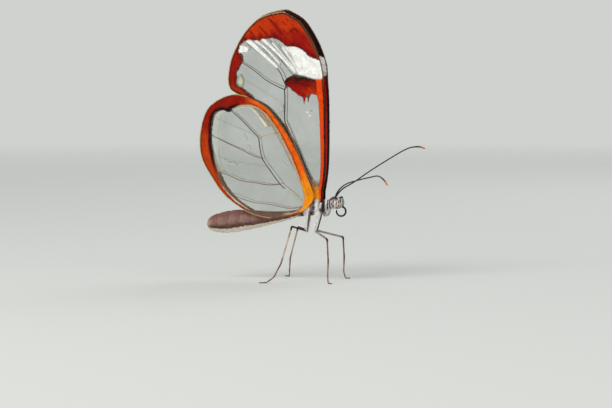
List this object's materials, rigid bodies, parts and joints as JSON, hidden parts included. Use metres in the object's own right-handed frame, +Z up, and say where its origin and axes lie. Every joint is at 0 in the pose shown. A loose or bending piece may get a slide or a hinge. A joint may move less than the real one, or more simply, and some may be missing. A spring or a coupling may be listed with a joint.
{
  "type": "glasswing butterfly",
  "caption": "Life-size still model of a glasswing butterfly standing with its clear, orange-edged wings closed upright over its back.",
  "frame": {"origin": "on the floor, under the middle of the animal's box from above", "axes": "+X towards the head, +Y to the animal's left, +Z up"},
  "size_m": [0.0334, 0.0172, 0.041],
  "materials": {
    "wing_membrane": "thin clear membrane with a slight sheen",
    "wing_scales": "fine matt orange-red and dark brown scales",
    "thorax_hair": "white and dark brown hair and scales",
    "abdomen_scales": "mauve-brown scales, cream below",
    "pale_scales": "white and grey scales",
    "eye": "smooth, glossy, grey-beige with dark spots",
    "dark_chitin": "dark, slightly glossy",
    "leg_chitin": "fine grey-brown scales"
  },
  "bodies": {
    "root": {"head": "thorax_hair", "thorax": "thorax_hair", "abdomen": "abdomen_scales", "eye_left": "eye", "eye_right": "eye", "palp_left": "pale_scales", "palp_right": "pale_scales", "proboscis": "dark_chitin", "antenna_left": "dark_chitin", "antenna_right": "dark_chitin", "foreleg_left": "pale_scales", "foreleg_right": "pale_scales", "midleg_left": "leg_chitin", "midleg_right": "leg_chitin", "hindleg_left": "leg_chitin", "hindleg_right": "leg_chitin", "forewing_left": "wing_membrane", "forewing_right": "wing_membrane", "hindwing_left": "wing_membrane", "hindwing_right": "wing_membrane"}
  },
  "joints": []
}
